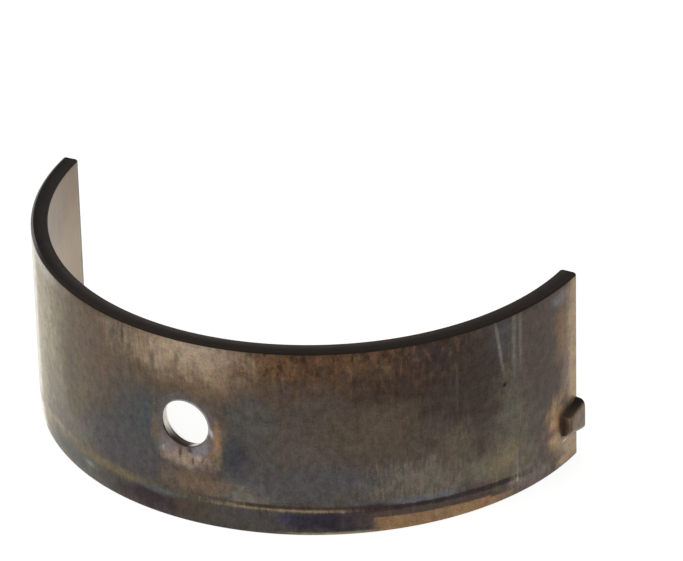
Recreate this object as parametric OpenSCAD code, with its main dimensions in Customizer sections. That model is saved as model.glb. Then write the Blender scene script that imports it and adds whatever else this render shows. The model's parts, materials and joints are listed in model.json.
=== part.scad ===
// Half shell of a two-part plain bearing for a connecting rod's big end, in its free state.
// The steel back, the bonded lining and the pressed locating tang are one piece of strip.
// The bearing axis is Z and the origin is on it, halfway along the shell.
// The crown lies towards -Y, the two parting faces look towards +Y and the tang is at the +X end.

/* [Shell] */
// Bore of the housing that the shell is pressed into
housing_d = 54; // [48:0.5:60]
// How much wider than its housing the loose shell springs open
free_spread = 1.3; // [0.5:0.1:3]
// Thickness of the wall, steel back and lining together
wall = 1.65; // [1.4:0.05:2.2]
// Length of the shell along the bearing axis
shell_len = 19.7; // [16:0.1:26]

/* [Edges] */
// Edge break where the back meets the upper side face
back_break = 0.25; // [0.08:0.01:0.35]
// Edge break where the back meets the lower side face, deeper than the eased band takes off
low_break = 0.25; // [0.22:0.01:0.35]
// Chamfer where the bore meets the two side faces
bore_chamfer = 0.12; // [0.08:0.01:0.5]
// Chamfer along the bore edge of each parting face
parting_chamfer = 0.15; // [0.1:0.05:0.6]
// Height of the eased band on the back's lower edge, at the crown
ease_h = 3; // [2:0.1:4]
// Slope of the eased band at the crown, in degrees
ease_tilt = 3; // [2:0.1:4]
// How much larger than the back the easing radius is, so that the band runs out before the ends
ease_over = 0.05; // [0.03:0.01:0.1]

/* [Dowel hole] */
// Diameter of the drilled hole through the crown
hole_d = 4.8; // [3:0.1:7]
// Height of the hole's centre above the middle of the shell
hole_rise = 0.8; // [-2:0.1:2]
// Edge break around the hole on the back
hole_back_break = 0.12; // [0.08:0.01:0.3]
// Depth of the hole's straight land under the back, below which the punch broke through wider
hole_land = 0.45; // [0.35:0.05:1]
// How much the hole widens all round from its land to the bore
hole_flare = 0.4; // [0.1:0.05:0.6]

/* [Locating tang] */
// How far the wall is pressed out to form the tang
tang_press = 0.9; // [0.5:0.05:1.1]
// Length of the tang from the parting face
tang_len = 2.8; // [2:0.1:4]
// Width of the tang at the parting face
tang_w = 3.6; // [2.6:0.1:5]
// Width of the tang at its inner end
tang_end_w = 2.2; // [1.5:0.1:2.5]
// Height of the tang's lower edge above the lower side face
tang_gap = 2.65; // [2:0.05:4]
// Bevel along the tang's lower outer edge
tang_low_bevel = 0.6; // [0.2:0.05:0.9]
// Bevel along the tang's upper outer edge
tang_top_bevel = 0.3; // [0.1:0.05:0.6]

/* [Hidden] */
$fn = 144;
// Cutters run this far past what they cut
past = 1;
// The ring is turned this many degrees past its parting faces, which are then cut
over_angle = 3;
// Free radii: the strip keeps its length, so a wider arc spans less than a half turn
free_d = housing_d + free_spread;
back_r = free_d / 2;
bore_r = back_r - wall;
span = 180 * housing_d / free_d;
// Angles of the two parting faces, either side of the crown
crown_angle = -90;
tang_angle = crown_angle + span / 2;
plain_angle = crown_angle - span / 2;
// Heights
low_z = -shell_len / 2;
top_z = shell_len / 2;
hole_z = hole_rise;
tang_low_z = low_z + tang_gap;
tang_mid_z = tang_low_z + tang_w / 2;
// The easing cylinder leans about X from a pivot above the band, where its surface leaves the back
ease_r = back_r + ease_over;
ease_pivot_z = low_z + ease_h + (ease_r / cos(ease_tilt) - back_r) / tan(ease_tilt);
// Arc of the tang, seen from the bearing axis
tang_sweep = tang_len / back_r * 180 / PI;

// Wall section with its four edges broken, as radius and height
module wall_section() {
    polygon([
        [bore_r + bore_chamfer, low_z],
        [back_r - low_break, low_z],
        [back_r, low_z + low_break],
        [back_r, top_z - back_break],
        [back_r - back_break, top_z],
        [bore_r + bore_chamfer, top_z],
        [bore_r, top_z - bore_chamfer],
        [bore_r, low_z + bore_chamfer]
    ]);
}

// Leaning cylinder that the back is kept within, so that its lower edge is eased most at the crown
module easing_cylinder() {
    translate([0, 0, ease_pivot_z])
        rotate([ease_tilt, 0, 0])
            cylinder(h = 3 * shell_len, r = ease_r, center = true);
}

// Everything beyond the two parting faces, which lie on planes through the bearing axis
module beyond_parting() {
    far = 2 * free_d;
    linear_extrude(shell_len + 2 * past, center = true)
        polygon([
            [0, 0],
            [far * cos(tang_angle), far * sin(tang_angle)],
            [far, far],
            [-far, far],
            [far * cos(plain_angle), far * sin(plain_angle)]
        ]);
}

// Wedge along the bore edge of a parting face that lies at the given angle
module parting_edge(angle) {
    rotate([0, 0, angle])
        linear_extrude(shell_len + 2 * past, center = true)
            polygon([
                [bore_r - past, -parting_chamfer - past],
                [bore_r + parting_chamfer + past, past],
                [bore_r - past, past]
            ]);
}

// Both parting edges, the second mirrored about the crown
module parting_edges() {
    parting_edge(tang_angle);
    mirror([1, 0, 0])
        parting_edge(tang_angle);
}

// Hole through the crown along the radius towards -Y: a broken edge, a straight land, then a flare to the bore
module dowel_hole() {
    hole_r = hole_d / 2;
    flare_h = wall - hole_land + past;
    flare_r = hole_r + hole_flare * flare_h / (wall - hole_land);
    translate([0, 0, hole_z])
        rotate([90, 0, 0]) {
            translate([0, 0, bore_r - past])
                cylinder(h = wall + 2 * past, r = hole_r);
            translate([0, 0, back_r - hole_back_break])
                cylinder(h = hole_back_break + past, r1 = hole_r, r2 = hole_r + hole_back_break + past);
            translate([0, 0, bore_r - past])
                cylinder(h = flare_h, r1 = flare_r, r2 = hole_r);
        }
}

// Outline of the tang seen along the radius: it widens from its inner end to past the parting face
module tang_outline() {
    face_y = back_r * sin(tang_angle);
    inner_y = back_r * sin(tang_angle - tang_sweep);
    widening = (tang_w - tang_end_w) / (face_y - inner_y);
    past_w = tang_w + widening * past;
    rotate([90, 0, 90])
        linear_extrude(back_r + 2 * past + tang_press)
            polygon([
                [inner_y, tang_mid_z - tang_end_w / 2],
                [face_y + past, tang_mid_z - past_w / 2],
                [face_y + past, tang_mid_z + past_w / 2],
                [inner_y, tang_mid_z + tang_end_w / 2]
            ]);
}

// Section of the tang as distance from the axis and height: its outer face between the two 45-degree bevels
module tang_section() {
    root_r = bore_r + tang_press + (wall - tang_press) / 2;
    out_r = back_r + tang_press;
    stand = out_r - root_r;
    face_low_z = tang_low_z + tang_low_bevel;
    face_top_z = tang_low_z + tang_w - tang_top_bevel;
    polygon([
        [root_r, face_low_z - stand],
        [out_r, face_low_z],
        [out_r, face_top_z],
        [root_r, face_top_z + stand]
    ]);
}

// Lug that stands out of the back, flat along its middle and rooted in the wall
module tang_lug() {
    intersection() {
        tang_outline();
        rotate([0, 0, tang_angle - tang_sweep / 2])
            rotate([90, 0, 0])
                linear_extrude(2 * tang_len, center = true)
                    tang_section();
    }
}

// Notch that the pressing leaves in the bore behind the lug, as deep as the lug is high
module tang_notch() {
    intersection() {
        tang_outline();
        rotate_extrude()
            translate([bore_r - past, tang_low_z - past])
                square([tang_press + past, tang_w + 2 * past]);
    }
}

// The whole shell
module bearing_shell() {
    color([0.37, 0.33, 0.3])
        difference() {
            union() {
                intersection() {
                    rotate([0, 0, plain_angle - over_angle])
                        rotate_extrude(angle = span + 2 * over_angle)
                            wall_section();
                    easing_cylinder();
                }
                tang_lug();
            }
            beyond_parting();
            parting_edges();
            tang_notch();
            dowel_hole();
        }
}

bearing_shell();
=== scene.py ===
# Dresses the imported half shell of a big-end bearing: worn, heat-stained steel with a grey lining.
# Everything is in metres in the frame's own axes: the bearing axis is Z, the crown lies towards -Y.
# On the shell itself, "along" is the arc from the crown towards the tang and "height" is from mid-length.
# The materials measure both in mm.
import json
import math
from functools import partial

import bmesh
import bpy
from mathutils import Matrix, Vector


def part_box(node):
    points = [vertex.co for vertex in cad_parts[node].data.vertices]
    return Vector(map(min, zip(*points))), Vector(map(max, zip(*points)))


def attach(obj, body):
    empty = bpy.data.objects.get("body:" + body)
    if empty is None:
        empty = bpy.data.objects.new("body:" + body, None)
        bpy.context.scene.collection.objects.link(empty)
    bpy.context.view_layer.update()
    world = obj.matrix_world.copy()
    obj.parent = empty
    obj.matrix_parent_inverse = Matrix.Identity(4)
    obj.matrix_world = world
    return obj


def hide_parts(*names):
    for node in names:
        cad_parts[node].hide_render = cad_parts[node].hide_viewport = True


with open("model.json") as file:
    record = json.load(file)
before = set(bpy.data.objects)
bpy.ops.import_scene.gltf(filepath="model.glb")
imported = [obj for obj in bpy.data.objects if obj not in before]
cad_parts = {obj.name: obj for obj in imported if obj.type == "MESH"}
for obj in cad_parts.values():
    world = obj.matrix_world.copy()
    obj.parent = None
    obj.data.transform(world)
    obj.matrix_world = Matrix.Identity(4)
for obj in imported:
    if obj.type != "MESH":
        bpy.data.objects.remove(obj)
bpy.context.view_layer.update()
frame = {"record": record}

MM = 0.001

# Sizes that the frame gives
NODE = "bearing_shell"
NODE_LOW, NODE_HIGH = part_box(NODE)
MOUNTS = {mount["name"]: mount for mount in frame["record"]["mounts"]}
LOW_Z = NODE_LOW[2]
TOP_Z = NODE_HIGH[2]
BACK_R = -NODE_LOW[1]
BORE_R = MOUNTS["journal_bore"]["dims"]["r_mm"] * MM
HOLE_R = MOUNTS["dowel_hole"]["dims"]["r_mm"] * MM
HOLE_Z = MOUNTS["dowel_hole"]["pos_m"][2]
PARTING_AXIS = MOUNTS["parting_face_tang"]["axis"]
HALF_SPAN = math.atan2(PARTING_AXIS[1], PARTING_AXIS[0])

# Edges, rounded where the solid has its edge breaks
BACK_LOW_EDGE = 0.18 * MM
BACK_TOP_EDGE = 0.25 * MM
BORE_EDGE = 0.12 * MM
HOLE_EDGE = 0.12 * MM
HOLE_LAND = 0.45 * MM
HOLE_FLARE = 0.4 * MM
CORNER_STEPS = 4
# A turn sharper than this shows as an edge
SHARP_ANGLE = math.radians(34)

# Eased band along the back's lower edge: its crease falls towards the ends, where the band runs out
CREASE_H = 3.0 * MM
CREASE_FALL_PER_M = 0.83
EASE_SLOPE = math.tan(math.radians(3.0))
EASE_FADE_START = math.radians(35)
EASE_FADE_END = math.radians(80)

# Locating tang, pressed out of the wall at the +X end
TANG_PRESS = 0.9 * MM
TANG_W = 3.6 * MM
TANG_END_W = 2.2 * MM
TANG_GAP = 2.65 * MM
TANG_LEN = 2.8 * MM
TANG_MID_Z = LOW_Z + TANG_GAP + TANG_W / 2
TANG_ARC = TANG_LEN / BACK_R
TANG_INNER = HALF_SPAN - TANG_ARC
TANG_MID = HALF_SPAN - TANG_ARC / 2
# Where it starts, in mm along
STEP_AT = TANG_INNER * BACK_R / MM

# Square patch of the mesh that the drilled hole takes up
PATCH = 3.4 * MM
PATCH_ARC = PATCH / BACK_R
PATCH_CELLS = 14
# Rings of vertices from its border to the hole's edge, and down the flare, as shares of the way
PATCH_RINGS = (0.3, 0.56, 0.77, 0.91, 1.0)
FLARE_RINGS = (0.06, 0.33, 0.66)

# Rows are lifted clear of the crease, between these angles short of the tang
ROW_LIFT = 1.0 * MM
ROW_LIFT_START = 0.05
ROW_LIFT_FULL = 0.5
# The crease's own rows stay this far below them
ROW_GAP = 0.5 * MM
# Rows along the crease and by the tang's sides: offset in mm, share of the lug's height, share of the notch
CREASE_ROWS = ((-0.2, 0, 0), (-0.07, 0, 0), (0, 0, 0), (0.07, 0, 0), (0.2, 0, 0))
LOW_SIDE_ROWS = (
    (-0.22, 0.00, 0.00),
    (-0.07, 0.02, 0.00),
    (0.00, 0.12, 0.04),
    (0.02, 0.24, 0.60),
    (0.06, 0.34, 0.96),
    (0.26, 0.58, 1.00),
    (0.46, 0.80, 1.00),
    (0.62, 0.94, 1.00),
    (0.80, 1.00, 1.00),
)
HIGH_SIDE_ROWS = (
    (-0.95, 1.00, 1.00),
    (-0.62, 0.98, 1.00),
    (-0.36, 0.91, 1.00),
    (-0.16, 0.78, 1.00),
    (-0.04, 0.60, 0.96),
    (0.00, 0.38, 0.55),
    (0.01, 0.12, 0.04),
    (0.07, 0.02, 0.00),
    (0.20, 0.00, 0.00),
)
# Columns of the mesh by the tang's inner end, in the same way
INNER_END_COLUMNS = (
    (-0.20, 0.00, 0.00),
    (-0.06, 0.02, 0.00),
    (0.00, 0.10, 0.04),
    (0.03, 0.56, 0.60),
    (0.09, 0.82, 0.96),
    (0.22, 0.95, 1.00),
    (0.40, 1.00, 1.00),
)
# Columns by a parting face, in mm: distance from it, rounding of the back's edge, chamfer of the bore's edge
PARTING_COLUMNS = (
    (0.00, 0.06, 0.16),
    (0.02, 0.02, 0.14),
    (0.06, 0.00, 0.10),
    (0.14, 0.00, 0.02),
    (0.20, 0.00, 0.00),
)
# Cells of the mesh between those groups of rows and columns
ROW_CELLS = (4, 3, 5, 3, PATCH_CELLS, 7)
COLUMN_CELLS = (44, PATCH_CELLS, 44, 8)
# Row and column at which the hole's patch starts
PATCH_LOW_ROW = 1 + len(CREASE_ROWS) + len(LOW_SIDE_ROWS) + len(HIGH_SIDE_ROWS) + sum(ROW_CELLS[:4]) - 4
PATCH_LOW_COLUMN = len(PARTING_COLUMNS) + COLUMN_CELLS[0] - 1

# Material slots of the shell's mesh
BACK, LINING, SIDE, PARTING, HOLE_WALL, HOLE_MOUTH = range(6)


def blend(low, high, share):
    return low + (high - low) * share


def smooth_share(value, low, high):
    """0 below low, 1 above high, and a smooth rise between them."""
    share = min(1.0, max(0.0, (value - low) / (high - low)))
    return share * share * (3.0 - 2.0 * share)


def join_groups(groups, cells):
    """Strings groups of rows or columns together, with the stretches between them divided into cells."""
    joined = list(groups[0])
    for group, count in zip(groups[1:], cells):
        last, first = joined[-1], group[0]
        for step in range(1, count):
            joined.append(tuple(blend(p, q, step / count) for p, q in zip(last, first)))
        joined += group
    return joined


def crease_height(angle):
    """Height at which the eased band leaves the back."""
    along = BACK_R * angle
    return LOW_Z + CREASE_H - CREASE_FALL_PER_M * along * along


def back_radius(angle, z):
    """Radius of the plain or eased back at an angle from the crown."""
    slope = EASE_SLOPE * (1.0 - smooth_share(abs(angle), EASE_FADE_START, EASE_FADE_END))
    return BACK_R - slope * max(0.0, crease_height(angle) - z)


def tang_sides(angle):
    """Heights of the tang's two sides; away from the tang the rows move up to make room for the band."""
    share = min(1.0, max(0.0, (angle - TANG_INNER) / TANG_ARC))
    half = blend(TANG_END_W, TANG_W, share) / 2
    away = 1.0 - smooth_share(angle, TANG_INNER - ROW_LIFT_FULL, TANG_INNER - ROW_LIFT_START)
    middle = TANG_MID_Z + ROW_LIFT * away
    return middle - half, middle + half


def rows_at(angle, low_edge, top_edge):
    """Mesh rows between the two side faces, as height, share of the lug and share of the notch."""
    low_side, high_side = tang_sides(angle)
    crease = min(crease_height(angle), low_side - ROW_GAP)
    groups = (
        [(LOW_Z + low_edge, 0.0, 0.0)],
        [(crease + step * MM, lug, notch) for step, lug, notch in CREASE_ROWS],
        [(low_side + step * MM, lug, notch) for step, lug, notch in LOW_SIDE_ROWS],
        [(high_side + step * MM, lug, notch) for step, lug, notch in HIGH_SIDE_ROWS],
        [(HOLE_Z - PATCH, 0.0, 0.0)],
        [(HOLE_Z + PATCH, 0.0, 0.0)],
        [(TOP_Z - top_edge, 0.0, 0.0)],
    )
    return join_groups(groups, ROW_CELLS)


def columns():
    """Mesh columns along the arc: angle, share of the lug and notch, and insets of the back and bore."""
    plain, tang = [], []
    for distance, back_inset, bore_inset in PARTING_COLUMNS:
        arc = distance * MM / BACK_R
        plain.append((arc - HALF_SPAN, 0.0, 0.0, back_inset * MM, bore_inset * MM))
        tang.append((HALF_SPAN - arc, 1.0, 1.0, back_inset * MM, bore_inset * MM))
    inner = []
    for step, lug, notch in INNER_END_COLUMNS:
        inner.append((TANG_INNER + step * MM / BACK_R, lug, notch, 0.0, 0.0))
    hole_sides = [(-PATCH_ARC, 0.0, 0.0, 0.0, 0.0)], [(PATCH_ARC, 0.0, 0.0, 0.0, 0.0)]
    return join_groups((plain, *hole_sides, inner, tang[::-1]), COLUMN_CELLS)


def rounded_edge(radius, z, edge, outward, upward):
    """Edge between a cylinder and a side face, from the cylinder on, as radius and height."""
    made = []
    for step in range(1, CORNER_STEPS + 1):
        turn = math.pi / 2 * step / CORNER_STEPS
        inset = edge * (1.0 - math.cos(turn))
        made.append((radius - outward * inset, z + upward * edge * math.sin(turn)))
    return made


def with_edges(rows, low_edge, top_edge, outward):
    """Adds the rounded edges at the two side faces to one side of the wall."""
    low = rounded_edge(*rows[0], low_edge, outward, -1)
    high = rounded_edge(*rows[-1], top_edge, outward, 1)
    return low[::-1] + rows + high


def section(column):
    """The two sides of the wall at one column, each from the lower side face to the upper one."""
    angle, lug, notch, back_inset, bore_inset = column
    lug_r = (BACK_R + TANG_PRESS) / math.cos(angle - TANG_MID)
    back, bore = [], []
    for z, row_lug, _ in rows_at(angle, BACK_LOW_EDGE, BACK_TOP_EDGE):
        back.append((blend(back_radius(angle, z), lug_r, lug * row_lug) - back_inset, z))
    for z, _, row_notch in rows_at(angle, BORE_EDGE, BORE_EDGE):
        bore.append((BORE_R + max(bore_inset, TANG_PRESS * notch * row_notch), z))
    back = with_edges(back, BACK_LOW_EDGE, BACK_TOP_EDGE, 1)
    bore = with_edges(bore, BORE_EDGE, BORE_EDGE, -1)
    return back, bore


def place(radius, angle, z):
    """A point by its radius, its angle from the crown and its height."""
    return Vector((radius * math.sin(angle), -radius * math.cos(angle), z))


def on_cylinder(x, radius):
    """The crown side of a cylinder about the bearing axis, as y for a given x."""
    return -math.sqrt(radius * radius - x * x)


def add_face(mesh, corners, slot):
    face = mesh.faces.new(corners)
    face.material_index = slot
    face.smooth = True


def add_strip(mesh, one, other, slot):
    """Faces between two lines of vertices of the same length."""
    for k in range(len(one) - 1):
        add_face(mesh, (one[k], one[k + 1], other[k + 1], other[k]), slot)


def in_patch(column, row):
    """Whether a cell of the wall's grid lies in the square that the hole takes up."""
    column -= PATCH_LOW_COLUMN
    row -= PATCH_LOW_ROW + CORNER_STEPS
    return 0 <= column < PATCH_CELLS and 0 <= row < PATCH_CELLS


def add_wall(mesh):
    """Both sides of the wall as grids, the side faces between them and the parting faces at the ends."""
    back_grid, bore_grid = [], []
    for column in columns():
        back, bore = section(column)
        back_grid.append([mesh.verts.new(place(r, column[0], z)) for r, z in back])
        bore_grid.append([mesh.verts.new(place(r, column[0], z)) for r, z in bore])
    for grid, slot in ((back_grid, BACK), (bore_grid, LINING)):
        for i in range(len(grid) - 1):
            for j in range(len(grid[i]) - 1):
                if not in_patch(i, j):
                    add_face(mesh, (grid[i][j], grid[i + 1][j], grid[i + 1][j + 1], grid[i][j + 1]), slot)
    for j in (0, -1):
        add_strip(mesh, [line[j] for line in back_grid], [line[j] for line in bore_grid], SIDE)
    for i in (0, -1):
        add_strip(mesh, back_grid[i], bore_grid[i], PARTING)
    return back_grid, bore_grid


def patch_border(grid):
    """Vertices round the hole's patch on one side of the wall, in order."""
    left, right = PATCH_LOW_COLUMN, PATCH_LOW_COLUMN + PATCH_CELLS
    low = PATCH_LOW_ROW + CORNER_STEPS
    high = low + PATCH_CELLS
    border = [grid[i][low] for i in range(left, right)]
    border += [grid[right][j] for j in range(low, high)]
    border += [grid[i][high] for i in range(right, left, -1)]
    border += [grid[left][j] for j in range(high, low, -1)]
    return border


def patch_rings(mesh, border, turns, radius, edge_r):
    """Rings of vertices on one side of the wall, from the patch's border to the hole's edge."""
    rings = [border]
    for share in PATCH_RINGS:
        ring = []
        for vertex, turn in zip(border, turns):
            x = blend(vertex.co.x, edge_r * math.cos(turn), share)
            z = blend(vertex.co.z, HOLE_Z + edge_r * math.sin(turn), share)
            ring.append(mesh.verts.new((x, on_cylinder(x, radius), z)))
        rings.append(ring)
    return rings


def hole_profile():
    """Steps down the hole: growth of its radius, depth under the back, share of the way on to the bore."""
    profile = []
    for step in range(1, CORNER_STEPS + 1):
        turn = math.pi / 2 * step / CORNER_STEPS
        profile.append((HOLE_EDGE * (1.0 - math.sin(turn)), HOLE_EDGE * (1.0 - math.cos(turn)), 0.0))
    profile.append((0.0, HOLE_LAND, 0.0))
    profile += [(HOLE_FLARE * share, HOLE_LAND, share) for share in FLARE_RINGS]
    return profile


def wall_rings(mesh, turns):
    """Rings of vertices down the hole: the rounded edge, the straight land and the flare."""
    rings = []
    for growth, depth, share in hole_profile():
        ring = []
        for turn in turns:
            x = (HOLE_R + growth) * math.cos(turn)
            z = HOLE_Z + (HOLE_R + growth) * math.sin(turn)
            y = blend(on_cylinder(x, BACK_R) + depth, on_cylinder(x, BORE_R), share)
            ring.append(mesh.verts.new((x, y, z)))
        rings.append(ring)
    return rings


def add_hole(mesh, back_grid, bore_grid):
    """The drilled hole and the patches round it on the back and in the bore."""
    back_border, bore_border = patch_border(back_grid), patch_border(bore_grid)
    turns = [math.atan2(vertex.co.z - HOLE_Z, vertex.co.x) for vertex in back_border]
    back_rings = patch_rings(mesh, back_border, turns, BACK_R, HOLE_R + HOLE_EDGE)
    bore_rings = patch_rings(mesh, bore_border, turns, BORE_R, HOLE_R + HOLE_FLARE)
    down = wall_rings(mesh, turns)
    edge = [back_rings[-1], *down[:CORNER_STEPS]]
    wall = down[CORNER_STEPS - 1:]
    mouth = [down[-1], bore_rings[-1]]
    parts = ((back_rings, BACK), (edge, BACK), (wall, HOLE_WALL), (mouth, HOLE_MOUTH), (bore_rings, LINING))
    for rings, slot in parts:
        for one, other in zip(rings, rings[1:]):
            add_strip(mesh, one + one[:1], other + other[:1], slot)


def add_object(name, data):
    """A new object in the scene."""
    made = bpy.data.objects.new(name, data)
    bpy.context.scene.collection.objects.link(made)
    return made


def add_mesh_object(name, mesh):
    """A new object from a mesh in the making."""
    data = bpy.data.meshes.new(name)
    mesh.to_mesh(data)
    mesh.free()
    return add_object(name, data)


def make_shell():
    """The shell's mesh, standing for the solid in the same place."""
    mesh = bmesh.new()
    add_hole(mesh, *add_wall(mesh))
    bmesh.ops.recalc_face_normals(mesh, faces=mesh.faces[:])
    shell = add_mesh_object("shell", mesh)
    shell.data.set_sharp_from_angle(angle=SHARP_ANGLE)
    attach(shell, "root")
    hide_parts(NODE)
    return shell


def tint(red, green, blue):
    """A colour as a picture shows it, 0 to 255, turned into the linear values that a shader takes."""
    linear = []
    for value in (red / 255, green / 255, blue / 255):
        linear.append(value / 12.92 if value <= 0.04045 else ((value + 0.055) / 1.055) ** 2.4)
    return (*linear, 1.0)


# Tints of the heat-stained steel, of the painted shade on faces that look up and of the lining's dark ends
STEEL = tint(76, 67, 60)
PALE_BEIGE = tint(166, 156, 133)
BEIGE = tint(113, 100, 78)
SMOKE = tint(98, 83, 68)
TAN = tint(146, 129, 107)
GOLDEN = tint(155, 133, 104)
RUST = tint(77, 57, 42)
ORANGE = tint(128, 97, 67)
COPPER = tint(131, 104, 76)
DARK_BROWN = tint(58, 47, 41)
SLATE = tint(74, 74, 74)
DARK_SLATE = tint(58, 59, 62)
BLUE_GREY = tint(92, 93, 99)
MAUVE = tint(73, 63, 57)
PLUM = tint(54, 44, 47)
NAVY = tint(48, 44, 52)
# Tint of a painted highlight
HIGHLIGHT_TINT = tint(190, 184, 174)
# Painted shade for faces that look up, the tang's step and the hole's wall
BLACK_PAINTED_SHADE = tint(32, 25, 20)
GREY_PAINTED_SHADE = tint(51, 46, 42)
BROWN_PAINTED_SHADE = tint(58, 46, 39)
HOLE_PAINTED_SHADE = tint(38, 31, 26)
DARK_STRIP = tint(104, 97, 90)

# The three directions that a vector is split into
AXES = ((1.0, 0.0, 0.0), (0.0, 1.0, 0.0), (0.0, 0.0, 1.0))


class Graph:
    """Short names for the nodes that the materials are made of."""

    def __init__(self, tree):
        self.tree = tree

    def node(self, kind, **settings):
        node = self.tree.nodes.new("ShaderNode" + kind)
        for name, value in settings.items():
            setattr(node, name, value)
        return node

    def feed(self, socket, value):
        """Links a socket to another, or sets it to a value."""
        if isinstance(value, bpy.types.NodeSocket):
            self.tree.links.new(value, socket)
        else:
            socket.default_value = value

    def fill(self, node, values):
        """Feeds a node's sockets in order and gives what comes out of it."""
        for socket, value in zip(node.inputs, values):
            self.feed(socket, value)
        return node.outputs

    def math(self, operation, *values):
        return self.fill(self.node("Math", operation=operation), values)[0]

    def vector(self, operation, *values):
        made = self.fill(self.node("VectorMath", operation=operation), values)
        return made["Value" if operation in ("LENGTH", "DOT_PRODUCT") else "Vector"]

    def join(self, x, y, z):
        return self.fill(self.node("CombineXYZ"), (x, y, z))[0]

    def split(self, vector):
        """The three parts of a vector, of which an unused one takes no room in the renderer."""
        return [self.vector("DOT_PRODUCT", vector, axis) for axis in AXES]

    def rise(self, value, low, high, bottom=0.0, top=1.0):
        """A smooth step from bottom to top as the value goes from low to high."""
        node = self.node("MapRange", interpolation_type="SMOOTHSTEP")
        for name, number in (
            ("Value", value),
            ("From Min", low),
            ("From Max", high),
            ("To Min", bottom),
            ("To Max", top),
        ):
            self.feed(node.inputs[name], number)
        return node.outputs["Result"]

    def noise_node(self, place, stretch, detail, roughness):
        """Noise with so many cells to the mm along, in height and through the wall."""
        node = self.node("TexNoise")
        self.feed(node.inputs["Vector"], self.vector("MULTIPLY", place, stretch))
        node.inputs["Scale"].default_value = 1.0
        node.inputs["Detail"].default_value = detail
        node.inputs["Roughness"].default_value = roughness
        return node

    def noise(self, place, stretch, detail=3.0, roughness=0.55):
        """Noise about zero."""
        return self.math("SUBTRACT", self.noise_node(place, stretch, detail, roughness).outputs["Fac"], 0.5)

    def three_noises(self, place, stretch, detail=4.0, roughness=0.6):
        """Three unlike noises about zero, as one vector."""
        node = self.noise_node(place, stretch, detail, roughness)
        return self.vector("SUBTRACT", node.outputs["Color"], (0.5, 0.5, 0.5))

    def mix(self, share, one, other, mode="MIX"):
        node = self.node("Mix", data_type="RGBA", blend_type=mode)
        sockets = {socket.identifier: socket for socket in node.inputs}
        self.feed(sockets["Factor_Float"], share)
        self.feed(sockets["A_Color"], one)
        self.feed(sockets["B_Color"], other)
        return next(socket for socket in node.outputs if socket.identifier == "Result_Color")

    def shade(self, colour, amount):
        """Lightens or darkens a colour by a share about zero."""
        node = self.node("HueSaturation")
        self.feed(node.inputs["Color"], colour)
        self.feed(node.inputs["Value"], self.math("ADD", amount, 1.0))
        return node.outputs["Color"]


# Share by which one value hangs on another without showing
HAIR = 1e-6
# What a stain is given, and of what kind
STAIN_SOCKETS = (
    ("Color", "Color"),
    ("Place", "Vector"),
    ("Blotches", "Vector"),
    ("Streaks", "Vector"),
    ("Choice", "Vector"),
    ("Tint", "Color"),
    ("Centre", "Vector"),
    ("Reach", "Vector"),
    ("Lean", "Float"),
    ("Slant", "Float"),
    ("Square", "Float"),
    ("Follow", "Float"),
    ("Edge", "Float"),
    ("Ragged", "Float"),
    ("Streaky", "Float"),
    ("Strength", "Float"),
)


def crease_level(graph, along):
    """Height of the eased band's crease in mm, for a shader."""
    fall = graph.math("MULTIPLY", graph.math("MULTIPLY", along, along), CREASE_FALL_PER_M * MM)
    return graph.math("SUBTRACT", (LOW_Z + CREASE_H) / MM, fall)


def make_stain_group():
    """A soft patch of one tint, round or square, whose edge is broken by blotches and streaks.

    Its choice of noise and the place that it hands on hang by a hair on the colours, so that the renderer
    works out the stains one after another and never holds them all at once.
    """
    group = bpy.data.node_groups.new("stain", "ShaderNodeTree")
    for name, kind in STAIN_SOCKETS:
        group.interface.new_socket(name=name, in_out="INPUT", socket_type="NodeSocket" + kind)
    group.interface.new_socket(name="Color", in_out="OUTPUT", socket_type="NodeSocketColor")
    group.interface.new_socket(name="Place", in_out="OUTPUT", socket_type="NodeSocketVector")
    graph = Graph(group)
    given = group.nodes.new("NodeGroupInput").outputs
    result = group.nodes.new("NodeGroupOutput").inputs
    along = graph.split(given["Place"])[0]
    x, y, _ = graph.split(graph.vector("SUBTRACT", given["Place"], given["Centre"]))
    y = graph.math("SUBTRACT", y, graph.math("MULTIPLY", crease_level(graph, along), given["Follow"]))
    leant = graph.math("SUBTRACT", y, graph.math("MULTIPLY", x, given["Lean"]))
    slanted = graph.math("SUBTRACT", x, graph.math("MULTIPLY", y, given["Slant"]))
    scaled = graph.vector("DIVIDE", graph.join(slanted, leant, 0.0), given["Reach"])
    u, v, _ = graph.split(graph.vector("ABSOLUTE", scaled))
    round_reach = graph.vector("LENGTH", scaled)
    squarer = graph.math("SUBTRACT", graph.math("MAXIMUM", u, v), round_reach)
    reach = graph.math("MULTIPLY_ADD", squarer, given["Square"], round_reach)
    choice = graph.vector("MULTIPLY_ADD", given["Color"], (HAIR, HAIR, HAIR), given["Choice"])
    blotch = graph.vector("DOT_PRODUCT", given["Blotches"], choice)
    streak = graph.vector("DOT_PRODUCT", given["Streaks"], choice)
    reach = graph.math("MULTIPLY_ADD", blotch, given["Ragged"], reach)
    reach = graph.math("MULTIPLY_ADD", streak, given["Streaky"], reach)
    outer = graph.math("ADD", 1.0, given["Edge"])
    inner = graph.math("SUBTRACT", 1.0, given["Edge"])
    share = graph.math("MULTIPLY", graph.rise(reach, outer, inner), given["Strength"])
    colour = graph.mix(share, given["Color"], given["Tint"])
    graph.feed(result["Color"], colour)
    graph.feed(result["Place"], graph.vector("MULTIPLY_ADD", colour, (HAIR, HAIR, HAIR), given["Place"]))
    return group


# Turns by which each stain's mix of noises differs from the last one's
CHOICE_TURN = 2.4
CHOICE_TWIST = 1.7
# Noises that break the stains' edges, in cells to the mm along, in height and through the wall
BLOTCH_CELLS = (0.5, 0.5, 0.0)
STREAK_CELLS = (3.6, 0.55, 0.0)


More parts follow.
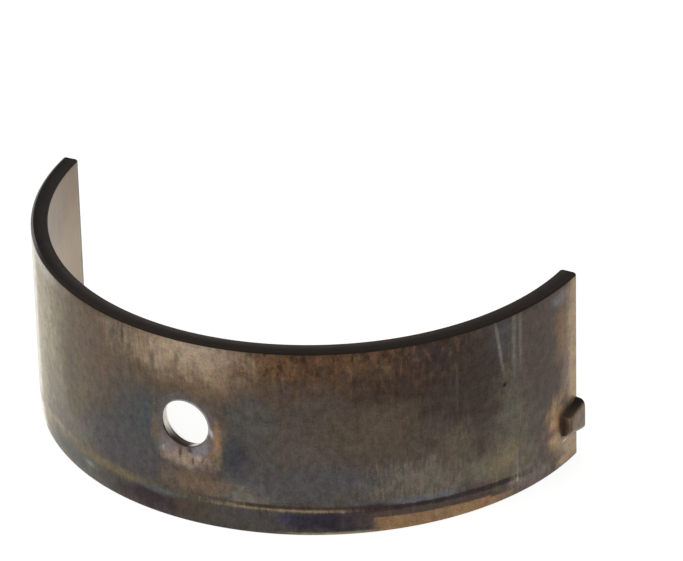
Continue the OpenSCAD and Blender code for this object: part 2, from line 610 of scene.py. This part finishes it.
class Coat:
    """A colour built up by laying stains over a base tint, placed by mm along and in height."""

    def __init__(self, graph, place, base):
        self.graph = graph
        self.place = place
        self.colour = base
        self.count = 0
        self.blotches = graph.three_noises(place, BLOTCH_CELLS, detail=5.0)
        self.streaks = graph.three_noises(place, STREAK_CELLS, detail=4.0)

    def choice(self):
        """Each stain mixes the three noises in its own way, so that no two have the same edge."""
        self.count += 1
        turn = CHOICE_TURN * self.count
        return (math.cos(turn), math.sin(turn), math.cos(CHOICE_TWIST * turn))

    def stain(self, name, colour, at, reach, edge=0.75, ragged=1.6, streaky=0.8, strength=1.0,
              lean=0.0, slant=0.0, square=0.0, follow=0.0):
        """Lays one stain at a place in mm, with its reach to either side.

        Edge, ragged and streaky are shares of that reach. Lean and slant shear it, square gives it corners,
        and with follow its height is measured from the crease. The order of values is STAIN_SOCKETS' own.
        """
        node = self.graph.tree.nodes.new("ShaderNodeGroup")
        node.node_tree = STAIN
        node.label = name
        laid_on = (self.colour, self.place, self.blotches, self.streaks, self.choice())
        spot = (colour, (*at, 0.0), (*reach, 1.0))
        form = (lean, slant, square, follow, edge, ragged, streaky, strength)
        made = self.graph.fill(node, laid_on + spot + form)
        self.colour = made["Color"]
        self.place = made["Place"]

    def line(self, name, colour, at, reach, strength=1.0, **shape):
        """A scratch or another thin mark with a cleaner edge."""
        self.stain(name, colour, at, reach, edge=0.8, ragged=0.5, streaky=0.0, strength=strength, **shape)


def new_material(name):
    """A material, the graph of its nodes and the inputs of its shader."""
    material = bpy.data.materials.new(name)
    material.use_nodes = True
    return material, Graph(material.node_tree), material.node_tree.nodes["Principled BSDF"].inputs


def shell_place(graph):
    """Where a point is on the unrolled shell, in mm: along, height and depth under the back."""
    x, y, z = graph.split(graph.node("TexCoord").outputs["Object"])
    angle = graph.math("ARCTAN2", x, graph.math("MULTIPLY", y, -1.0))
    radius = graph.vector("LENGTH", graph.join(x, y, 0.0))
    along = graph.math("MULTIPLY", angle, BACK_R / MM)
    height = graph.math("DIVIDE", z, MM)
    depth = graph.math("DIVIDE", graph.math("SUBTRACT", BACK_R, radius), MM)
    return graph.join(along, height, depth)


def add_left_stains(coat):
    """Pale steel on the left-hand side, smokier towards the hole. Its paleness is partly the steel's own tone
    and partly painted sheen where the back turns away, with painted highlights.
    """
    stain = coat.stain
    # Beige and pale tints: partly the steel's own tone, partly painted sheen where the back turns away
    stain("beige left", BEIGE, (-23, 0), (11, 26), edge=0.4, ragged=0.7, streaky=0.5)
    stain("pale far flank", PALE_BEIGE, (-34, 0), (15, 26), edge=0.35, ragged=0.5, streaky=0.4)
    stain("dusky low flank", tint(126, 117, 98), (-18.7, -2.9), (3.0, 2.5), strength=0.9)
    # Painted highlight: a bright strip down the far flank
    stain("rubbed strip", tint(232, 226, 212), (-27.4, 0), (2.9, 60), edge=0.4, ragged=0.1, streaky=0.1)
    stain("hidden flank", tint(180, 171, 152), (-46, 0), (16, 60), edge=0.5, ragged=0.3, streaky=0.2)
    # Painted highlight at the lower corner
    stain("bright low corner", tint(240, 237, 229), (-25.4, -8.6), (1.7, 1.9), strength=0.7)
    stain("light under the edge", tint(202, 196, 188), (-23.5, 9.4), (5.2, 0.8), edge=0.9, ragged=0.3,
          streaky=0.1, strength=0.55)
    # Grey along the top edge at the far left, where the painted shade on the edge fades out
    stain("worn edge", tint(104, 103, 102), (-34, 9.9), (15, 0.36), edge=0.25, ragged=0.1, streaky=0.0,
          square=1.0)
    stain("smoky zone", SMOKE, (-10, 6), (5.5, 5.5), strength=0.9)
    stain("olive smudge", tint(92, 82, 64), (-15.2, 0.2), (1.5, 4.2), strength=0.8)
    stain("slate left of the hole", SLATE, (-5.4, -1.2), (3.4, 4.6), strength=0.95)
    stain("purple-grey low left", tint(77, 74, 75), (-8.4, -3.9), (5.0, 2.4), strength=0.9)
    stain("grey by the foot", tint(104, 97, 89), (-17, -6), (4.4, 2.0), strength=0.85)


def add_tan_patch(coat):
    """Tan patch by the top edge, above the hole."""
    stain = coat.stain
    line = coat.line
    stain("brown above the hole", tint(102, 85, 69), (1.2, 6.0), (5.4, 2.0))
    stain("tan at its right", tint(138, 117, 96), (3.5, 6.4), (1.1, 1.1), edge=0.9, strength=0.5)
    stain("tan patch by the top edge", TAN, (-0.9, 8.7), (5.3, 2.3), edge=0.8, ragged=2.0, streaky=1.2)
    stain("tan patch's core", tint(156, 137, 119), (1.0, 8.9), (2.6, 1.4), edge=0.9, ragged=2.2, strength=0.8)
    stain("orange in the tan", ORANGE, (-4.6, 8.2), (0.8, 1.6), streaky=3.0, strength=0.25)
    line("dark streak", tint(88, 74, 63), (-3.3, 6.8), (0.28, 1.0), strength=0.7)
    line("second dark streak", tint(92, 78, 66), (-0.6, 7.2), (0.24, 1.1), strength=0.6)


def add_hole_stains(coat):
    """Rings, scuffs and flecks round the hole, with painted highlights on its edge."""
    stain = coat.stain
    line = coat.line
    stain("brown under the hole", tint(106, 89, 74), (0.7, -5.3), (3.0, 1.3), strength=0.85)
    stain("rust arc", tint(124, 101, 82), (0.6, 0.2), (3.2, 3.0), edge=0.3, ragged=0.8, streaky=0.3,
          strength=0.5)
    stain("grey ring", tint(92, 86, 86), (0.05, 0.8), (3.15, 3.2), edge=0.2, ragged=0.6, streaky=0.2,
          strength=0.8)
    stain("blue halo left of the hole", tint(71, 77, 80), (-4.3, 0.8), (0.7, 2.0), strength=0.55)
    stain("brown left of the hole", tint(108, 90, 77), (-3.3, -0.2), (0.4, 1.6), strength=0.6)
    stain("orange right of the hole", tint(140, 110, 84), (3.3, -0.6), (0.36, 1.8), edge=0.9, ragged=1.2,
          streaky=0.4, strength=0.8)
    stain("scuffed tan", tint(138, 120, 106), (0.1, -2.9), (2.4, 0.8), edge=0.7, ragged=2.0, streaky=1.3,
          strength=0.95)
    stain("lilac under the hole", tint(120, 115, 121), (1.8, -1.5), (1.0, 0.7), edge=0.7, strength=0.85,
          lean=0.4)
    stain("lilac left of it", tint(116, 108, 108), (-2.1, -1.7), (0.9, 0.8), edge=0.7, strength=0.85)
    stain("tan at the lower right", tint(120, 98, 80), (2.7, -2.0), (0.5, 0.7), strength=0.4, slant=0.6)
    # Painted highlight along the hole's rounded edge, mostly at the upper right
    stain("light edge at the upper right", tint(150, 144, 140), (0.12, 0.92), (2.5, 2.5), edge=0.02,
          ragged=0.02, streaky=0.0, strength=0.8)
    line("glint at the right", tint(168, 165, 166), (2.72, 0.4), (0.2, 0.42), strength=0.8, slant=-0.2)
    line("dark streak under the hole", tint(80, 70, 64), (-0.6, -2.4), (0.16, 0.4), strength=0.9)
    line("dark spot under the hole", tint(72, 64, 62), (0.4, -1.95), (0.28, 0.25), strength=0.9)
    line("dark streak further right", tint(84, 72, 64), (0.75, -3.0), (0.12, 0.36), strength=0.9)
    line("third dark streak", tint(86, 74, 68), (1.75, -2.75), (0.1, 0.34), strength=0.8, slant=0.4)
    line("light fleck", tint(146, 138, 132), (-2.4, -2.3), (0.13, 0.34), strength=0.7)
    line("pink fleck", tint(158, 142, 130), (1.35, -2.55), (0.24, 0.34), strength=0.8)
    line("tan fleck", tint(150, 130, 112), (-0.2, -3.0), (0.26, 0.4), strength=0.7)


def add_middle_stains(coat):
    """Slate right of the hole, the rusty band under the top edge and the dark zone."""
    stain = coat.stain
    stain("slate right of the hole", tint(77, 75, 71), (6.2, 0.6), (2.8, 4.6), strength=0.9)
    stain("dark slate", DARK_SLATE, (4.9, -2.0), (1.5, 1.9), ragged=1.2, streaky=0.2, strength=0.9)
    stain("grey-green low", tint(111, 105, 94), (6.0, -5.8), (2.3, 1.5), ragged=2.0, strength=0.9)
    stain("lighter grey", tint(87, 79, 71), (11.4, -0.9), (2.3, 2.0), strength=0.6)
    stain("rusty band under the top edge", RUST, (13.5, 8.6), (11.0, 2.4), ragged=2.6, streaky=1.8,
          strength=0.9)
    stain("orange streaks", ORANGE, (8.0, 8.8), (2.8, 1.3), edge=0.9, ragged=3.4, streaky=1.6, strength=0.35)
    stain("orange further on", ORANGE, (18.5, 8.6), (3.4, 1.3), edge=0.9, ragged=3.4, streaky=1.6,
          strength=0.2)
    stain("dark brown zone", DARK_BROWN, (23.4, 5.6), (4.8, 4.4), streaky=1.2, strength=0.9)
    stain("dark brown left of it", tint(54, 43, 36), (18.0, 4.6), (2.4, 2.4), strength=0.8)
    stain("plum under the top edge", PLUM, (24.3, 8.4), (1.8, 0.9), strength=0.9)
    stain("plum further on", PLUM, (27.5, 8.7), (1.6, 0.9), strength=0.7)
    stain("tan in the middle", tint(82, 71, 60), (18.4, 1.2), (3.6, 3.0), strength=0.9)
    stain("slate above the band", tint(76, 74, 75), (12.0, -4.4), (7.6, 2.1), strength=0.9)
    stain("pale brushed zone", tint(100, 93, 82), (22.8, -4.9), (3.9, 1.7), ragged=2.2, streaky=2.4,
          strength=0.9)
    stain("lighter brown", tint(90, 81, 69), (26.6, -1.6), (1.9, 2.2), strength=0.75)


def add_right_stains(coat):
    """Columns of dark and grey-green, and the golden border by the tang."""
    stain = coat.stain
    stain("dark column", tint(57, 49, 44), (28.4, 4.8), (3.4, 5.6), strength=0.9)
    stain("grey-green column", tint(94, 90, 77), (33.2, -2.4), (2.3, 7.0), strength=0.65)
    stain("grey-green further right", tint(97, 92, 83), (36.4, -2.2), (2.0, 1.6), strength=0.6)
    stain("blue at the top", tint(67, 65, 68), (31.6, 8.2), (1.4, 2.2), strength=0.7)
    stain("mauve right", MAUVE, (36.8, 2.6), (2.8, 6.8), strength=0.9)
    stain("blue-grey corner", tint(112, 108, 112), (39.4, 8.6), (1.5, 0.6), edge=0.9, ragged=2.0,
          strength=0.7)
    stain("olive", tint(112, 101, 80), (31.4, -5.7), (2.2, 1.7), strength=0.9)
    stain("grey-olive", tint(99, 95, 83), (28.6, -5.6), (1.3, 1.2), strength=0.7)
    stain("orange by the end", ORANGE, (39.5, 5.0), (0.9, 2.4), edge=0.9, ragged=2.2, strength=0.5)
    stain("golden border", GOLDEN, (43.0, -1.5), (2.4, 9.0), edge=0.8, ragged=1.2, streaky=0.8)
    stain("golden border's upper part", GOLDEN, (43.2, 6.0), (1.9, 9.0), edge=0.7, ragged=1.0, streaky=0.8)
    stain("mauve line", tint(102, 84, 80), (40.4, 0.3), (0.5, 2.6), strength=0.7)
    stain("orange by the tang", tint(172, 139, 104), (38.8, -4.9), (1.4, 2.2), edge=0.7, ragged=1.8,
          strength=0.9)
    stain("orange below it", tint(150, 121, 92), (39.3, -6.9), (0.9, 0.65), strength=0.75)
    stain("tan fleck by the corner", tint(164, 134, 102), (40.2, -9.1), (1.3, 0.5), strength=0.75)
    stain("brown above the corner", tint(98, 80, 68), (38.7, -8.0), (1.2, 0.6), edge=0.9, strength=0.7)
    stain("tan under the tang", tint(148, 129, 104), (41.4, -8.0), (2.0, 1.2), strength=0.9)
    stain("dark by the tang", tint(82, 65, 55), (37.6, -5.5), (1.5, 0.55), edge=0.9, ragged=1.0,
          strength=0.85)
    stain("lighter low right", tint(96, 87, 78), (34.6, -6.2), (2.0, 1.4), strength=0.7)
    stain("lighter foot", tint(120, 109, 99), (33.4, -8.7), (3.3, 1.1), strength=0.8)


def add_band_stains(coat):
    """Tints of the eased band, which follow its crease, and painted highlights along the crease at the left.
    """
    stain = partial(coat.stain, follow=1.0)
    # Painted highlight along the crease
    stain("light crease", tint(164, 151, 126), (-20.5, 0.2), (5.0, 0.55), strength=0.8)
    stain("grey band", tint(86, 85, 80), (-15.0, -1.2), (5.4, 1.6), strength=0.95)
    stain("dark olive in the band", tint(70, 64, 55), (-9.0, -1.5), (1.7, 0.8), strength=0.7)
    stain("slate band", tint(72, 68, 65), (3.0, -1.5), (11.0, 1.35), edge=0.35, ragged=0.8)
    # Painted highlight along the crease, golden
    stain("golden crease", tint(112, 98, 70), (-11.4, -0.05), (6.0, 0.5), edge=0.7, ragged=1.2, strength=0.8)
    stain("plum band", PLUM, (-4.0, -1.5), (3.6, 1.0))
    stain("teal", tint(84, 84, 74), (-0.4, -0.5), (2.8, 0.45), strength=0.6)
    stain("olive in the band", tint(76, 65, 51), (0.4, -1.4), (2.2, 1.4), strength=0.7)
    stain("navy band", NAVY, (13.6, -1.3), (4.4, 1.1), edge=0.5)
    stain("violet spot", tint(62, 58, 80), (9.9, -1.0), (0.7, 0.4), strength=0.8)
    stain("pale spot", tint(126, 126, 122), (-12.7, -1.1), (0.7, 0.24), edge=0.9, strength=0.7)
    stain("brown strip", tint(76, 64, 57), (25.0, -1.0), (8.0, 0.8), edge=0.4, ragged=0.6, square=1.0)
    stain("blue-grey line", BLUE_GREY, (21.5, 0.45), (4.6, 0.35), strength=0.7)


def add_copper_patch(coat):
    """Copper-coloured patch at the foot, with its tail."""
    stain = coat.stain
    line = coat.line
    shape = {"edge": 0.08, "ragged": 0.16, "streaky": 0.1, "square": 1.0}
    tail = {"edge": 0.16, "ragged": 0.4, "streaky": 0.1, "square": 1.0}
    stain("copper patch", COPPER, (23.9, -9.45), (5.8, 1.02), lean=-0.042, strength=0.9, **shape)
    stain("copper patch's tail", tint(134, 106, 79), (28.9, -9.75), (3.6, 0.98), lean=-0.09, strength=0.9,
          **tail)
    stain("purple foot", tint(98, 84, 82), (35.0, -9.5), (2.6, 0.5), strength=0.7)
    line("tan foot", tint(138, 124, 106), (14.2, -9.72), (3.8, 0.18), square=1.0)


def add_crease_lines(coat):
    """Thin lines along the crease."""
    stain = partial(coat.stain, follow=1.0)
    stain("tan crease", tint(124, 111, 88), (10.5, -0.12), (6.8, 0.17), edge=0.9, square=1.0, ragged=3.4,
          streaky=2.4)
    stain("red-brown over the tan crease", tint(66, 53, 48), (10.5, 0.17), (6.8, 0.17), square=1.0)
    stain("dark crease", tint(51, 44, 45), (25.2, -0.12), (8.4, 0.26), edge=0.5, ragged=0.5, square=1.0)
    stain("dark start of the crease", tint(52, 42, 41), (18.2, 0.05), (1.5, 0.5), strength=0.8)
    stain("blue-green under the crease", tint(88, 94, 92), (-3.4, -0.4), (2.4, 0.3), ragged=1.0,
          streaky=0.4, strength=0.65)


def add_scratches(coat):
    """Scratches, pale streaks, a painted glint and a pit."""
    line = coat.line
    pale = tint(112, 108, 100)
    line("curved scratch", pale, (31.0, 7.0), (0.17, 2.8), strength=0.7, slant=-0.16)
    line("pale streak", tint(106, 101, 93), (32.8, 7.4), (0.24, 3.2), strength=0.7)
    line("pale streak beside it", tint(104, 98, 90), (33.6, 7.4), (0.2, 3.2), strength=0.65)
    line("light line", tint(120, 116, 108), (33.1, -6.6), (0.12, 1.5), strength=0.6)
    # Painted glint at the foot of the light line
    line("bright spot", tint(150, 146, 138), (33.1, -8.2), (0.15, 0.22), strength=0.8)
    line("faint line", tint(88, 82, 76), (26.3, 4.0), (0.12, 2.2), strength=0.4)
    line("pit", tint(30, 25, 24), (31.6, 2.65), (0.2, 0.22))


def add_tang_stains(coat):
    """The tang's face, its step, and the painted shade and painted highlight under it."""
    stain = coat.stain
    line = coat.line
    stain("tang's face", tint(108, 94, 79), (41.5, -5.4), (1.4, 1.9), edge=0.3, ragged=0.6, strength=0.85)
    line("mauve streak", tint(112, 98, 104), (41.6, -5.0), (0.2, 0.9), strength=0.6)
    line("tang's step", tint(98, 82, 67), (STEP_AT + 0.12, -5.4), (0.5, 1.3), square=0.7, strength=0.8)
    line("shade under the tang", tint(104, 92, 78), (41.2, -6.95), (1.5, 0.2), strength=0.5, lean=-0.25)
    # Painted highlight along the lug's lower edge
    line("bright line under the tang", HIGHLIGHT_TINT, (40.15, -7.15), (0.4, 0.1), strength=0.75, lean=0.1)


# Rust specks: the stretch along and the height over which they come and go, and how strong they are
SPECKS_START = (3.0, 9.0)
SPECKS_END = (30.5, 24.0)
SPECKS_HEIGHT = (3.5, 9.0)
ORANGE_SPECKS = 0.6
DARK_SPECKS = 0.8


def add_rust_specks(graph, place, colour):
    """Fine orange and dark specks in the rusty band under the top edge."""
    along, height, _ = graph.split(place)
    band = graph.math("MULTIPLY", graph.rise(along, *SPECKS_START), graph.rise(along, *SPECKS_END))
    band = graph.math("MULTIPLY", band, graph.rise(height, *SPECKS_HEIGHT))
    orange = graph.rise(graph.noise(place, (1.6, 0.6, 0.0), detail=3.0, roughness=0.6), -0.02, 0.2)
    dark = graph.rise(graph.noise(place, (1.3, 0.7, 3.0), detail=3.0, roughness=0.6), 0.02, -0.18)
    orange = graph.math("MULTIPLY", orange, graph.math("MULTIPLY", band, ORANGE_SPECKS))
    colour = graph.mix(orange, colour, tint(112, 84, 61))
    dark = graph.math("MULTIPLY", dark, graph.math("MULTIPLY", band, DARK_SPECKS))
    return graph.mix(dark, colour, tint(50, 38, 30))


# Painted shade on faces that look up: how much a face looks up where it starts and where it is full
EDGE_PAINTED_SHADE = (0.03, 0.3)
TANG_PAINTED_SHADE = (0.15, 0.75)
HOLE_WALL_PAINTED_SHADE = (0.25, 0.85)
PAINTED_SHADE_SPECULAR = 0.05
# Stretches in mm over which the back's painted shade comes or goes
SHADE_FADE_LEFT = (-27.0, -21.0)
LOW_AS_TANG = (0.0, -2.0)
STEP_REACH = (0.5, 0.2)
STEP_HALF_WIDTH = (1.5, 0.9)
STEP_DEPTH = (-0.9, -0.1)
BROWNER_END = (41.8, 39.8)
# Middle of the painted shade on the tang's step, its shares at the step's top and base, and what is left of
# it at the far left
STEP_SHADE_AT = STEP_AT + 0.2
STEP_SHARES = (0.3, 0.85)
SHADE_LEFT_SHARE = 0.1


def looks_up(graph, low, high):
    """Share of painted shade that a face carries by how much it looks up."""
    up = graph.split(graph.node("NewGeometry").outputs["Normal"])[2]
    return graph.rise(up, low, high)


def lay_painted_shade(graph, shader, colour, painted_shade, shade_tint):
    """Painted shade, so matt and dark that the metal under it doesn't show."""
    graph.feed(shader["Base Color"], graph.mix(painted_shade, colour, shade_tint))
    graph.feed(shader["Metallic"], graph.math("SUBTRACT", 1.0, painted_shade))
    shader["Specular IOR Level"].default_value = PAINTED_SHADE_SPECULAR


def back_painted_shade(graph, place):
    """Painted shade on the back's upper edge, fading at the far left, on the tang, browner at its inner end,
    and at the tang's step.
    """
    along, height, depth = graph.split(place)
    on_edge = looks_up(graph, *EDGE_PAINTED_SHADE)
    on_edge = graph.math("MULTIPLY", on_edge, graph.rise(along, *SHADE_FADE_LEFT, SHADE_LEFT_SHARE, 1.0))
    by_tang = graph.rise(height, *LOW_AS_TANG)
    painted_shade = graph.rise(by_tang, 0.0, 1.0, on_edge, looks_up(graph, *TANG_PAINTED_SHADE))
    from_step = graph.math("ABSOLUTE", graph.math("SUBTRACT", along, STEP_SHADE_AT))
    from_middle = graph.math("ABSOLUTE", graph.math("SUBTRACT", height, TANG_MID_Z / MM))
    on_step = graph.rise(from_step, *STEP_REACH)
    on_step = graph.math("MULTIPLY", on_step, graph.rise(from_middle, *STEP_HALF_WIDTH))
    near_base = graph.rise(depth, *STEP_DEPTH, *STEP_SHARES)
    painted_shade = graph.math("MAXIMUM", painted_shade, graph.math("MULTIPLY", on_step, near_base))
    browner = graph.math("MULTIPLY", by_tang, graph.rise(along, *BROWNER_END))
    return painted_shade, graph.mix(browner, BLACK_PAINTED_SHADE, BROWN_PAINTED_SHADE)


# The back's own noises, in cells to the mm again, and how strong each is
MOTTLE_CELLS = (0.9, 0.7, 0.0)
CLOUD_CELLS = (1.3, 1.0, 0.0)
BRUSH_CELLS = (4.5, 0.5, 0.0)
GRAIN_CELLS = (6.0, 4.5, 0.0)
MOTTLE_HUE = (0.27, 0.23, 0.3)
CLOUD_SHADE = 1.5
BRUSH_SHADE = 0.4
GRAIN_SHADE = 0.8
# Towards the far flank the mottling and clouds fade, over this stretch and to this share
CALM_FROM = (-30.0, -23.0)
CALM_SHARE = 0.35
# Roughness of the brushed steel, how much the brushing varies it, and the depth of the lines
BACK_ROUGHNESS = 0.42
BRUSH_ROUGHNESS = 0.2
LINE_DEPTH = 0.01 * MM


def make_back():
    """Steel back, stained by heat and oil, with fine lines brushed along the axis and painted shade where it
    looks up.
    """
    material, graph, shader = new_material("stained_steel")
    place = shell_place(graph)
    coat = Coat(graph, place, STEEL)
    add_left_stains(coat)
    add_middle_stains(coat)
    add_right_stains(coat)
    add_tan_patch(coat)
    add_hole_stains(coat)
    add_band_stains(coat)
    add_copper_patch(coat)
    add_crease_lines(coat)
    add_scratches(coat)
    add_tang_stains(coat)
    colour = add_rust_specks(graph, place, coat.colour)
    mottle = graph.three_noises(place, MOTTLE_CELLS, detail=3.0, roughness=0.5)
    calm = graph.rise(graph.split(place)[0], *CALM_FROM, CALM_SHARE, 1.0)
    mottle = graph.vector("MULTIPLY", mottle, calm)
    hue = graph.vector("MULTIPLY_ADD", mottle, MOTTLE_HUE, (1.0, 1.0, 1.0))
    cloud = graph.noise(place, CLOUD_CELLS, detail=5.0, roughness=0.72)
    cloud = graph.math("MULTIPLY", cloud, calm)
    brush = graph.noise(place, BRUSH_CELLS, detail=4.0, roughness=0.65)
    grain = graph.noise(place, GRAIN_CELLS, detail=3.0)
    lines = graph.math("MULTIPLY", brush, BRUSH_SHADE)
    lines = graph.math("ADD", lines, graph.math("MULTIPLY", grain, GRAIN_SHADE))
    lines = graph.math("MULTIPLY_ADD", cloud, CLOUD_SHADE, lines)
    colour = graph.mix(1.0, colour, hue, "MULTIPLY")
    # Painted shade on faces that look up and at the tang's step
    lay_painted_shade(graph, shader, graph.shade(colour, lines), *back_painted_shade(graph, place))
    graph.feed(shader["Roughness"], graph.math("MULTIPLY_ADD", brush, BRUSH_ROUGHNESS, BACK_ROUGHNESS))
    bump = graph.node("Bump")
    bump.inputs["Distance"].default_value = LINE_DEPTH
    bump.inputs["Strength"].default_value = 0.5
    graph.feed(bump.inputs["Height"], lines)
    graph.feed(shader["Normal"], bump.outputs["Normal"])
    return material


def make_lining():
    """Soft grey bearing metal, polished round the bore, with oil smudges and painted shade where it looks up.
    """
    material, graph, shader = new_material("lining")
    place = shell_place(graph)
    coat = Coat(graph, place, tint(154, 138, 117))
    coat.stain("dusky upper half", tint(126, 110, 91), (0.0, 10.0), (90.0, 6.0), edge=0.6, ragged=0.6,
               streaky=0.0)
    coat.stain("smudges", tint(104, 92, 76), (0.0, -6.5), (60.0, 2.4), ragged=3.0, streaky=0.0, strength=0.5)
    end_at = HALF_SPAN * BACK_R / MM
    coat.stain("dark strip by the end", DARK_STRIP, (-end_at, 0), (0.35, 30), square=1.0)
    coat.stain("dark strip by the tang", DARK_STRIP, (end_at, 0), (0.35, 30), square=1.0)
    polish = graph.noise(place, (0.2, 7.0, 0.0), detail=2.0)
    drawn = graph.noise(place, (1.2, 0.1, 0.0), detail=3.0)
    lines = graph.math("ADD", graph.math("MULTIPLY", polish, 0.2), graph.math("MULTIPLY", drawn, 0.25))
    # Painted shade where the bore's edge looks up
    lay_painted_shade(graph, shader, graph.shade(coat.colour, lines), looks_up(graph, *EDGE_PAINTED_SHADE), BLACK_PAINTED_SHADE)
    graph.feed(shader["Roughness"], graph.math("MULTIPLY_ADD", polish, 0.2, 0.4))
    return material


# The side faces' painted shade: greyer from this depth on, and less so towards the ends
GREYER_DEPTH = (0.7, 1.5)
GREYER_MIDDLE = (12.0, 32.0)
GREYER_AT_ENDS = 0.3
# It is darker towards the left-hand end and along the back's edge
DARKER_LEFT = (-8.0, -28.0)
DARKER_LEFT_BY = -0.45
DARKER_EDGE = (0.3, 1.1)
DARKER_EDGE_BY = -0.32


def make_side():
    """Side faces, dark all over as painted shade."""
    material, graph, shader = new_material("blackened_side")
    place = shell_place(graph)
    along, _, depth = graph.split(place)
    greyer = graph.rise(depth, *GREYER_DEPTH)
    end = graph.rise(graph.math("ABSOLUTE", along), *GREYER_MIDDLE, 1.0, GREYER_AT_ENDS)
    colour = graph.mix(graph.math("MULTIPLY", greyer, end), BLACK_PAINTED_SHADE, GREY_PAINTED_SHADE)
    blotch = graph.noise(place, (0.9, 0.9, 1.5), detail=5.0)
    darker = graph.rise(along, *DARKER_LEFT, 0.0, DARKER_LEFT_BY)
    darker = graph.math("ADD", darker, graph.rise(depth, *DARKER_EDGE, DARKER_EDGE_BY, 0.0))
    graph.feed(shader["Base Color"], graph.shade(colour, graph.math("MULTIPLY_ADD", blotch, 0.8, darker)))
    shader["Roughness"].default_value = 0.55
    shader["Specular IOR Level"].default_value = PAINTED_SHADE_SPECULAR
    return material


# The hole's wall has no painted shade at its right, past this stretch
GLINT_LEFT = (0.9, 0.1)


def make_hole_wall():
    """The hole's land and most of its flare, light where they look sideways and with painted shade where they
    look up.
    """
    material, graph, shader = new_material("hole_wall")
    place = shell_place(graph)
    blotch = graph.noise(place, (1.2, 1.2, 2.0), detail=4.0)
    left_of_glint = graph.rise(graph.split(place)[0], *GLINT_LEFT)
    painted_shade = graph.math("MULTIPLY", looks_up(graph, *HOLE_WALL_PAINTED_SHADE), left_of_glint)
    colour = graph.shade(tint(208, 202, 194), graph.math("MULTIPLY", blotch, 0.6))
    lay_painted_shade(graph, shader, colour, painted_shade, HOLE_PAINTED_SHADE)
    shader["Roughness"].default_value = 0.45
    return material


def make_hole_mouth():
    """The last of the flare, at the bore, rubbed bright."""
    material, graph, shader = new_material("hole_mouth")
    wear = graph.noise(shell_place(graph), (1.5, 1.5, 3.0), detail=4.0)
    graph.feed(shader["Base Color"], graph.shade(tint(244, 240, 234), graph.math("MULTIPLY", wear, 0.2)))
    shader["Roughness"].default_value = 0.25
    shader["Metallic"].default_value = 1.0
    return material


def make_parting():
    """Machined end faces, bright under a thin warm tarnish."""
    material, graph, shader = new_material("parting_face")
    place = shell_place(graph)
    lines = graph.noise(place, (0.0, 0.6, 9.0), detail=3.0)
    graph.feed(shader["Base Color"], graph.shade(tint(168, 152, 130), graph.math("MULTIPLY", lines, 0.4)))
    shader["Roughness"].default_value = 0.4
    shader["Metallic"].default_value = 1.0
    return material


# Camera, at the photograph's viewing angle
CAMERA_AZIMUTH = math.radians(27.95)
CAMERA_ELEVATION = math.radians(29.26)
CAMERA_ROLL = math.radians(-1.5)
CAMERA_DISTANCE = 540.5 * MM
AIM_RIGHT = 1.674 * MM
AIM_UP = 10.323 * MM
CAMERA_LENS = 292.3
CAMERA_SENSOR = 36.0


def make_camera():
    """Looks at the foot of the bearing axis, with that point moved off the picture's middle."""
    level = math.cos(CAMERA_ELEVATION)
    across, ahead = math.sin(CAMERA_AZIMUTH), math.cos(CAMERA_AZIMUTH)
    back = Vector((across * level, -ahead * level, math.sin(CAMERA_ELEVATION)))
    right = Matrix.Rotation(CAMERA_ROLL, 3, back) @ Vector((ahead, across, 0.0))
    up = back.cross(right)
    eye = Vector((0.0, 0.0, LOW_Z)) + back * CAMERA_DISTANCE + right * AIM_RIGHT + up * AIM_UP
    data = bpy.data.cameras.new("camera")
    data.sensor_width = CAMERA_SENSOR
    data.lens = CAMERA_LENS
    data.clip_start = 0.01
    data.clip_end = 10.0
    camera = add_object("camera", data)
    camera.matrix_world = Matrix.Translation(eye) @ Matrix((right, up, back)).transposed().to_4x4()
    bpy.context.scene.camera = camera


# Light and floor
WORLD_STRENGTH = 0.7
FLOOR_SIZE = 6.0
FLOOR_ALBEDO = 0.25
FLOOR_LIFT = 0.82


def seen_directly(graph):
    """1 for what the camera sees, itself or in a reflection, and 0 for light on the object."""
    path = graph.node("LightPath").outputs
    seen = graph.math("MAXIMUM", path["Is Camera Ray"], path["Is Glossy Ray"])
    return graph.math("MAXIMUM", seen, path["Is Transmission Ray"])


def make_world():
    """Even white light, a little stronger where it is seen than where it lights the shell."""
    world = bpy.data.worlds.new("studio")
    world.use_nodes = True
    bpy.context.scene.world = world
    graph = Graph(world.node_tree)
    background = world.node_tree.nodes["Background"].inputs
    background["Color"].default_value = (1.0, 1.0, 1.0, 1.0)
    graph.feed(background["Strength"], graph.rise(seen_directly(graph), 0.0, 1.0, WORLD_STRENGTH, 1.0))


def make_floor():
    """A pale floor whose colour the camera sees as white, apart from the shell's shadow."""
    mesh = bmesh.new()
    bmesh.ops.create_grid(mesh, x_segments=1, y_segments=1, size=FLOOR_SIZE / 2)
    floor = add_mesh_object("floor", mesh)
    floor.location.z = LOW_Z
    material, graph, shader = new_material("floor")
    shader["Base Color"].default_value = (FLOOR_ALBEDO, FLOOR_ALBEDO, FLOOR_ALBEDO, 1.0)
    shader["Roughness"].default_value = 0.9
    shader["Specular IOR Level"].default_value = 0.0
    shader["Emission Color"].default_value = (1.0, 1.0, 1.0, 1.0)
    graph.feed(shader["Emission Strength"], graph.math("MULTIPLY", seen_directly(graph), FLOOR_LIFT))
    floor.data.materials.append(material)


def make_lamp(name, place_m, size, power):
    """A square lamp that looks at the origin."""
    data = bpy.data.lights.new(name, "AREA")
    data.size = size
    data.energy = power
    lamp = add_object(name, data)
    lamp.location = place_m
    lamp.rotation_mode = "QUATERNION"
    lamp.rotation_quaternion = Vector(place_m).to_track_quat("Z", "Y")


shell = make_shell()
STAIN = make_stain_group()
# In the order of the material slots
for make in (make_back, make_lining, make_side, make_parting, make_hole_wall, make_hole_mouth):
    shell.data.materials.append(make())
make_camera()
make_world()
make_floor()
make_lamp("key", place_m=(-0.3, -0.35, 0.5), size=0.5, power=2.0)
make_lamp("fill", place_m=(0.5, -0.2, 0.3), size=0.5, power=1.0)
bpy.context.scene.view_settings.view_transform = "Standard"
